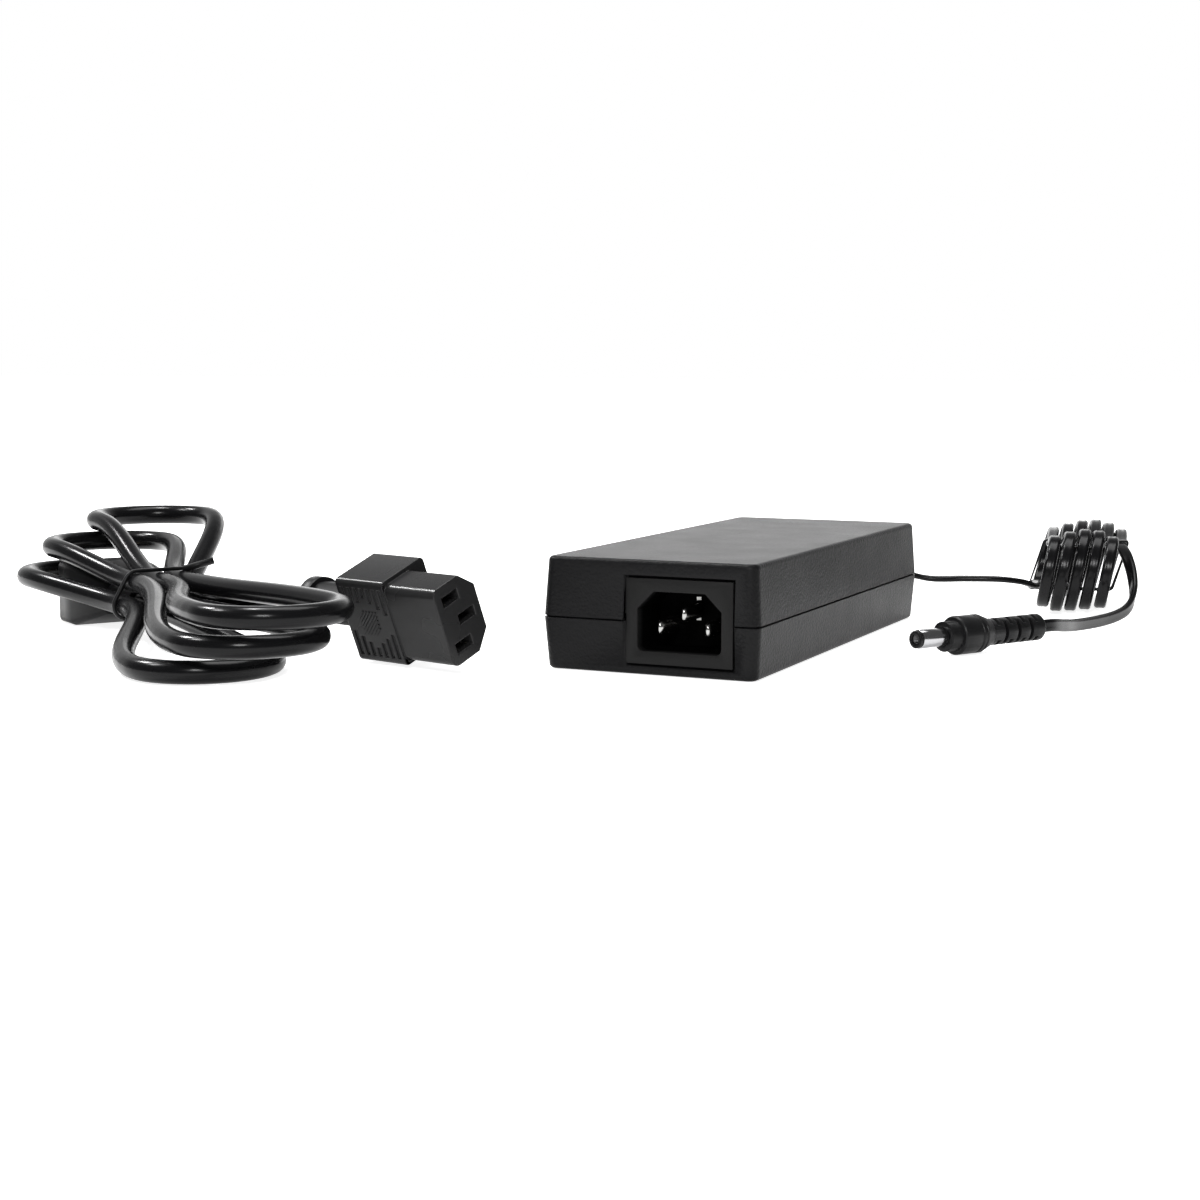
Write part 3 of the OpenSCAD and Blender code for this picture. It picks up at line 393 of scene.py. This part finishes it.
def paint_recess_shade():
    """Painted shade: the inlet's plastic is painted darker, and its specular level lower, from its front
    face inwards.
    """
    nt = SHADED_RECESS.node_tree
    depth = nt.nodes.new("ShaderNodeSeparateXYZ")
    nt.links.new(nt.nodes.new("ShaderNodeNewGeometry").outputs["Position"], depth.inputs["Vector"])
    for socket, top in RECESS_TOP.items():
        fade = nt.nodes.new("ShaderNodeMapRange")
        fade.inputs["From Min"].default_value = RECESS_FRONT_Y
        fade.inputs["From Max"].default_value = RECESS_DARK_Y
        fade.inputs["To Min"].default_value = top
        fade.inputs["To Max"].default_value = top * RECESS_LEFT
        nt.links.new(depth.outputs["Y"], fade.inputs["Value"])
        nt.links.new(fade.outputs["Result"], nt.nodes["Principled BSDF"].inputs[socket])


paint_recess_shade()
# Looks in place of a slot's own: painted shade in the plug's bore and in the inlet housing.
OTHER = {"dc_plug_contact": SHADED_CONTACT, "inlet_housing": SHADED_RECESS}
slot_of = {s["node"]: s["material_slot"] for s in frame["record"]["subparts"]}
for name, obj in node.items():
    obj.data.materials.clear()
    obj.data.materials.append(OTHER.get(name, MATS[slot_of[name]]))


# Pieces made here
def dress(obj, slot_name, other=None):
    """Give a piece the material of its slot, or another look instead, and attach it to the root."""
    obj.data.materials.append(other or MATS[slot_name])
    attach(obj, "root")


def add_mesh(name, verts, faces):
    mesh = bpy.data.meshes.new(name)
    mesh.from_pydata(verts, [], faces)
    mesh.update()
    obj = bpy.data.objects.new(name, mesh)
    bpy.context.collection.objects.link(obj)
    return obj


def smooth(mesh, angle):
    """Round shading, with edges sharper than the angle in degrees kept."""
    for p in mesh.polygons:
        p.use_smooth = True
    mesh.set_sharp_from_angle(angle=math.radians(angle))


BOX_CORNERS = [(i, j, k) for i in (-1, 1) for j in (-1, 1) for k in (-1, 1)]
BOX_FACES = ((0, 1, 3, 2), (4, 6, 7, 5), (0, 4, 5, 1), (2, 3, 7, 6), (0, 2, 6, 4), (1, 5, 7, 3))


def boxes(name, cells, place=lambda p: p):
    """One mesh of boxes, each a centre and three half edges in millimetres."""
    verts, faces = [], []
    for cell in cells:
        c, a, b, d = (np.asarray(v) for v in cell)
        first = len(verts)
        verts += [tuple(place(c + i * a + j * b + k * d) * MM) for i, j, k in BOX_CORNERS]
        faces += [tuple(first + q for q in f) for f in BOX_FACES]
    return add_mesh(name, verts, faces)


# Mains cord: one round tube from the connector's relief through the hank to the wall plug
def tube_curve(name, path, diameter):
    curve = bpy.data.curves.new(name, "CURVE")
    curve.dimensions = "3D"
    curve.bevel_depth = diameter / 2 * MM
    curve.bevel_resolution = AC_ROUND
    curve.use_fill_caps = True
    spline = curve.splines.new("POLY")
    spline.points.add(len(path) - 1)
    for point, p in zip(spline.points, path):
        point.co = (*(p * MM), 1)
    spline.use_smooth = True
    obj = bpy.data.objects.new(name, curve)
    bpy.context.collection.objects.link(obj)
    return obj


ac_path = even(mains_route(), AC_DRAW_STEP)
mains_cord = tube_curve("mains_cord", ac_path, AC_D)
dress(mains_cord, "cord")
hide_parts("mains_cord_lead", "mains_cord_hank")

# Output cord: two round cores side by side in one flat sleeve
CORE_STEPS = 11
CORE_ARC = 224  # degrees of each core's outline that show
CORD_SHARP = 50


def twin_profile():
    r, c = DC_T / 2, (DC_W - DC_T) / 2
    out = []
    for side in (1, -1):
        for i in range(CORE_STEPS):
            a = math.radians(-CORE_ARC / 2 + CORE_ARC * i / (CORE_STEPS - 1))
            out.append((side * (c + r * math.cos(a)), side * r * math.sin(a)))
    return out


def tube_mesh(name, path, wide, profile):
    """Sweep the profile along the path, its first axis toward the wide side."""
    verts, faces = [], []
    n, m = len(path), len(profile)
    for i in range(n):
        t = unit(path[min(i + 1, n - 1)] - path[max(i - 1, 0)])
        ref = np.asarray(wide[i], float)
        s = unit(ref - (ref @ t) * t)
        o = np.cross(t, s)
        verts += [tuple((path[i] + s * a + o * b) * MM) for a, b in profile]
    for i in range(n - 1):
        for k in range(m):
            faces.append((i * m + k, i * m + (k + 1) % m, (i + 1) * m + (k + 1) % m, (i + 1) * m + k))
    faces.append(tuple(range(m - 1, -1, -1)))
    faces.append(tuple((n - 1) * m + k for k in range(m)))
    return add_mesh(name, verts, faces)


dc_path, dc_wide = output_route()
output_cord = tube_mesh("output_cord", dc_path, dc_wide, twin_profile())
smooth(output_cord.data, CORD_SHARP)
dress(output_cord, "cord")
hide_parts("dc_cord_lead", "dc_cord_hank", "dc_cord_tail")

# Two bright metal dots on the back wall of the inlet: painted highlights, put where glints show
GLINT_X = 8.5
GLINT_Y = -59.25
GLINT_Z = (14.2, 19.8)
GLINT_HALF = ((0.65, 0, 0), (0, 0.2, 0), (0, 0, 0.45))
glint_dots = boxes("inlet_glint_dots", [((GLINT_X, GLINT_Y, z), *GLINT_HALF) for z in GLINT_Z])
dress(glint_dots, "pin_metal", GLINT_METAL)


# Hatched field on the connector's grip: stripes across a square
def hatch_cells():
    middle = -NOSE_L - GRIP_L / 2
    cells = []
    for k in range(-HATCHES, HATCHES + 1):
        d, run = HATCH_STEP * k, HATCH_RUN - HATCH_STEP * abs(k)
        cells.append(((d, -GRIP_NEAR - HATCH_OUT, middle + d), (-run, 0, run), (0, HATCH_DEEP / 2, 0),
                      (HATCH_W / 2, 0, HATCH_W / 2)))
    return cells


grip_hatch = boxes("grip_hatch", hatch_cells(), on_connector)
dress(grip_hatch, "inlet_plastic", CONNECTOR)

# Connector body: its slots stand across the line of the two outer pins, as the pins do
ARC_STEPS = 6
CUT_PAST = 1  # how far a cut reaches out of the surface


def arc(x, y, r, start):
    """Quarter circle round (x, y), anticlockwise from an angle in degrees."""
    turn = np.radians(np.linspace(start, start + 90, ARC_STEPS + 1))
    return [(x + r * math.cos(a), y + r * math.sin(a)) for a in turn]


def rect(x0, x1, y0, y1):
    return [(x0, y0), (x1, y0), (x1, y1), (x0, y1)]


def prisms(name, parts):
    """One mesh of upright prisms, each an anticlockwise outline with its low and high end."""
    verts, faces = [], []
    for outline, low, high in parts:
        first, n = len(verts), len(outline)
        sides = [(i, (i + 1) % n, n + (i + 1) % n, n + i) for i in range(n)]
        for face in [tuple(range(n - 1, -1, -1)), tuple(range(n, 2 * n)), *sides]:
            faces.append(tuple(first + i for i in face))
        verts += [(x, y, z) for z in (low, high) for x, y in outline]
    return add_mesh(name, verts, faces)


def nose_outline():
    w, h = NOSE_W / 2, NOSE_H / 2
    rounded = arc(NOSE_R - w, NOSE_R - h, NOSE_R, 180) + arc(w - NOSE_R, NOSE_R - h, NOSE_R, 270)
    return rounded + [(w, h - NOSE_CUT), (w - NOSE_CUT, h), (NOSE_CUT - w, h), (-w, h - NOSE_CUT)]


def grip_outline():
    w, far, near = GRIP_W / 2 - GRIP_R, GRIP_H / 2 - GRIP_R, GRIP_R - GRIP_NEAR
    corners = ((w, far, 0), (-w, far, 90), (-w, near, 180), (w, near, 270))
    return [p for x, y, start in corners for p in arc(x, y, GRIP_R, start)]


def connector_cuts():
    """The slots in the nose, and the slits on the grip's near side that leave a field in the middle."""
    x, y = SLOT_X / 2, SLOT_Y / 2
    cuts = [(rect(a - x, a + x, b - y, b + y), -SLOT_D, CUT_PAST) for a, b in SLOTS]
    for k in range(-SLITS, SLITS + 1):
        middle = -NOSE_L - GRIP_L / 2 + SLIT_STEP * k
        inner = SLIT_INNER - SLIT_GROW * abs(k)
        for x0, x1 in ((inner, SLIT_OUTER), (-SLIT_OUTER, -inner)):
            outline = rect(x0, x1, -GRIP_NEAR - CUT_PAST, -GRIP_NEAR + SLIT_D)
            cuts.append((outline, middle - SLIT_W / 2, middle + SLIT_W / 2))
    return cuts


def connector_object():
    grip = prisms("grip", [(grip_outline(), -NOSE_L - GRIP_L, -NOSE_L)])
    nose = prisms("nose", [(nose_outline(), -NOSE_L - NOSE_IN, 0)])
    cuts = prisms("cuts", connector_cuts())
    for other, what in ((nose, "UNION"), (cuts, "DIFFERENCE")):
        step = grip.modifiers.new(what, "BOOLEAN")
        step.object = other
        step.operation = what
        step.solver = "EXACT"
    mesh = bpy.data.meshes.new_from_object(grip.evaluated_get(bpy.context.evaluated_depsgraph_get()))
    for obj in (grip, nose, cuts):
        bpy.data.objects.remove(obj)
    for v in mesh.vertices:
        v.co = on_connector(v.co) * MM
    mesh.update()
    mesh.materials.clear()
    obj = bpy.data.objects.new("connector", mesh)
    bpy.context.collection.objects.link(obj)
    return obj


connector = connector_object()
dress(connector, "inlet_plastic", CONNECTOR)
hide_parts("connector_body")


# Contacts in the slots: a base and two leaves in each
def leaf_cells():
    deep = (0, SLOT_Y / 2, 0)
    half = (SLOT_D - LEAF_IN - LEAF_BASE) / 2
    cells = []
    for x, y in SLOTS:
        cells.append(((x, y, LEAF_BASE / 2 - SLOT_D), (SLOT_X / 2, 0, 0), deep, (0, 0, LEAF_BASE / 2)))
        for side in (-1, 1):
            centre = (x + side * (SLOT_X - LEAF_T) / 2, y, LEAF_BASE + half - SLOT_D)
            cells.append((centre, (LEAF_T / 2, 0, 0), deep, (0, 0, half)))
    return cells


connector_leaves = boxes("connector_leaves", leaf_cells(), on_connector)
dress(connector_leaves, "blade_metal")
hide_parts("connector_contacts")

# Tie of the output cord, drawn tight round the two rows of strands
TIE_HALF_W = 2.2
TIE_GAPS = (0.15, 0.85)  # from the strands to its inner and outer face
TIE_R = 0.8
TIE_STEPS = 7


def tie_ring(gap):
    """Outline round both rows at the waist, clockwise from the lower left, in the hank's across and up."""
    high = DC_WAIST + DC_T / 2 + gap
    half, lean = DC_W / 2 + gap, DC_LEAN * DC_WAIST
    left = [DC_STEP * (q - DC_HALVES / 4) + k * lean - half for q, k in ((0, -1), (0.5, 1))]
    corners = [(left[0], -high), (left[1], high), (-left[0], high), (-left[1], -high)]
    ring = []
    for k in range(4):
        c, a, b = (np.array(corners[i % 4]) for i in (k, k - 1, k + 1))
        p = c + unit(a - c) * (TIE_R + gap)
        q = c + unit(b - c) * (TIE_R + gap)
        ring += [(1 - t) ** 2 * p + 2 * t * (1 - t) * c + t * t * q for t in np.linspace(0, 1, TIE_STEPS)]
    return ring


def tie_object():
    verts, faces = [], []
    for along in (-TIE_HALF_W, TIE_HALF_W):
        for gap in TIE_GAPS:
            middle = DC_MID + along * DC_ALONG
            verts += [tuple((middle + a * DC_ACROSS + c * UP) * MM) for a, c in tie_ring(gap)]
    n = len(verts) // 4
    rings = (0, n, 3 * n, 2 * n)  # inner and outer at one side, outer and inner at the other
    for i in range(n):
        j = (i + 1) % n
        for k in range(4):
            a, b = rings[k], rings[(k + 1) % 4]
            faces.append((a + i, a + j, b + j, b + i))
    return add_mesh("output_tie", verts, faces)


output_tie = tie_object()
dress(output_tie, "plug_rubber")
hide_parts("dc_cord_tie")

# Softened edges on moulded pieces, in millimetres
BEVEL = {"inlet_housing": 0.25, "connector_body": 0.8, "connector_relief": 0.4, "mains_plug_body": 0.6,
         "dc_plug_body": 0.25, "dc_plug_barrel": 0.12, "dc_plug_insulator": 0.15, "dc_bushing": 0.25,
         "mains_plug_blades": 0.25}
BEVEL_STEPS = 2
BEVEL_FROM = 35
SHARP_FROM = 30
WELD_GAP = 1e-6
FLAT_FACED = ("top_shell", "bottom_shell")


def finish_edges(name, obj):
    smooth(obj.data, SHARP_FROM)
    weld = obj.modifiers.new("weld", "WELD")
    weld.merge_threshold = WELD_GAP
    if name in BEVEL:
        bevel = obj.modifiers.new("edges", "BEVEL")
        bevel.width = BEVEL[name] * MM
        bevel.segments = BEVEL_STEPS
        bevel.limit_method = "ANGLE"
        bevel.angle_limit = math.radians(BEVEL_FROM)
        bevel.harden_normals = True
    if name in FLAT_FACED:
        flat = obj.modifiers.new("flat_faces", "WEIGHTED_NORMAL")
        flat.keep_sharp = True


for name, obj in [*node.items(), ("connector_body", connector)]:
    finish_edges(name, obj)

# Floor and backdrop, in metres
FLOOR_HALF = 6
FLOOR_Z = -0.0002
FLOOR_GLOW = 0.5
FLOOR_CAMERA_GLOW = 0.35
BACK_WAY = (-0.415, 0.9, -0.6)
BACK_FROM = 0.2
BACK_TO = 0.9
ROOM_DIM = 0.12
ROOM_BRIGHT = 1.0
ROOM_FILL = 0.3
WHITE = (1, 1, 1, 1)


def seen_directly(tree):
    """1 for camera, glossy and transmission rays, 0 for the rest."""
    path = tree.nodes.new("ShaderNodeLightPath")
    out = path.outputs["Is Camera Ray"]
    for kind in ("Is Glossy Ray", "Is Transmission Ray"):
        most = tree.nodes.new("ShaderNodeMath")
        most.operation = "MAXIMUM"
        tree.links.new(out, most.inputs[0])
        tree.links.new(path.outputs[kind], most.inputs[1])
        out = most.outputs["Value"]
    return out


def make_floor():
    """Pale floor that keeps its shadows and looks white to the camera."""
    corners = rect(-FLOOR_HALF, FLOOR_HALF, -FLOOR_HALF, FLOOR_HALF)
    obj = add_mesh("floor", [(x, y, FLOOR_Z) for x, y in corners], [(0, 1, 2, 3)])
    pale = material("floor", (0.8, 0.8, 0.8), 0.8, spec=0.0)
    nt = pale.node_tree
    bsdf = nt.nodes["Principled BSDF"]
    bsdf.inputs["Emission Color"].default_value = WHITE
    glow = nt.nodes.new("ShaderNodeMath")
    glow.operation = "MULTIPLY"
    glow.inputs[1].default_value = FLOOR_GLOW
    nt.links.new(seen_directly(nt), glow.inputs[0])
    total = nt.nodes.new("ShaderNodeMath")
    total.operation = "MULTIPLY_ADD"
    total.inputs[1].default_value = FLOOR_CAMERA_GLOW
    nt.links.new(nt.nodes.new("ShaderNodeLightPath").outputs["Is Camera Ray"], total.inputs[0])
    nt.links.new(glow.outputs["Value"], total.inputs[2])
    nt.links.new(total.outputs["Value"], bsdf.inputs["Emission Strength"])
    obj.data.materials.append(pale)
    return obj


def make_world():
    """White to the camera, an even fill for diffuse light, and in reflections bright behind the object."""
    world = bpy.data.worlds.new("world")
    scene.world = world
    world.use_nodes = True
    nt = world.node_tree
    background = nt.nodes["Background"]
    background.inputs["Color"].default_value = WHITE
    way = nt.nodes.new("ShaderNodeVectorMath")
    way.operation = "DOT_PRODUCT"
    way.inputs[1].default_value = BACK_WAY
    nt.links.new(nt.nodes.new("ShaderNodeTexCoord").outputs["Generated"], way.inputs[0])
    back = nt.nodes.new("ShaderNodeMapRange")
    back.inputs["From Min"].default_value = BACK_FROM
    back.inputs["From Max"].default_value = BACK_TO
    back.inputs["To Min"].default_value = ROOM_DIM
    back.inputs["To Max"].default_value = ROOM_BRIGHT
    nt.links.new(way.outputs["Value"], back.inputs["Value"])
    drop = nt.nodes.new("ShaderNodeMath")
    drop.operation = "MAXIMUM"
    nt.links.new(back.outputs["Result"], drop.inputs[0])
    nt.links.new(nt.nodes.new("ShaderNodeLightPath").outputs["Is Camera Ray"], drop.inputs[1])
    mix = nt.nodes.new("ShaderNodeMix")
    mix.inputs["A"].default_value = ROOM_FILL
    nt.links.new(drop.outputs["Value"], mix.inputs["B"])
    nt.links.new(seen_directly(nt), mix.inputs["Factor"])
    nt.links.new(mix.outputs["Result"], background.inputs["Strength"])


floor = make_floor()
make_world()

# Soft lights: place, target and size in metres, then power in watts
LIGHTS = {
    "key": ((-0.1, 0.2, 1.2), (-0.05, 0.02, 0), (0.9, 0.6), 9),
    "left": ((-0.8, -0.35, 0.9), (-0.1, 0, 0), (0.16, 0.16), 4),
    "front": ((0.3, -0.95, 0.55), (0, 0, 0), (0.25, 0.2), 4.8),
    "edge_left": ((-0.93, 0.03, 0.81), (-0.07, -0.09, 0.02), (0.14, 0.14), 6),
    "edge_top": ((-0.4, 0.05, 1.1), (0, -0.08, 0.03), (0.12, 0.12), 4),
    "rear": ((-0.6, 1.25, 0.32), (0, 0, 0.02), (1.0, 0.35), 1.2),
}


def area_light(name, place, target, size, power):
    data = bpy.data.lights.new(name, "AREA")
    data.shape = "RECTANGLE"
    data.size, data.size_y = size
    data.energy = power
    obj = bpy.data.objects.new(name, data)
    obj.location = place
    obj.rotation_euler = (Vector(target) - Vector(place)).to_track_quat("-Z", "Y").to_euler()
    obj.visible_camera = False
    bpy.context.collection.objects.link(obj)


for name, values in LIGHTS.items():
    area_light(name, *values)

scene.view_settings.view_transform = "Standard"
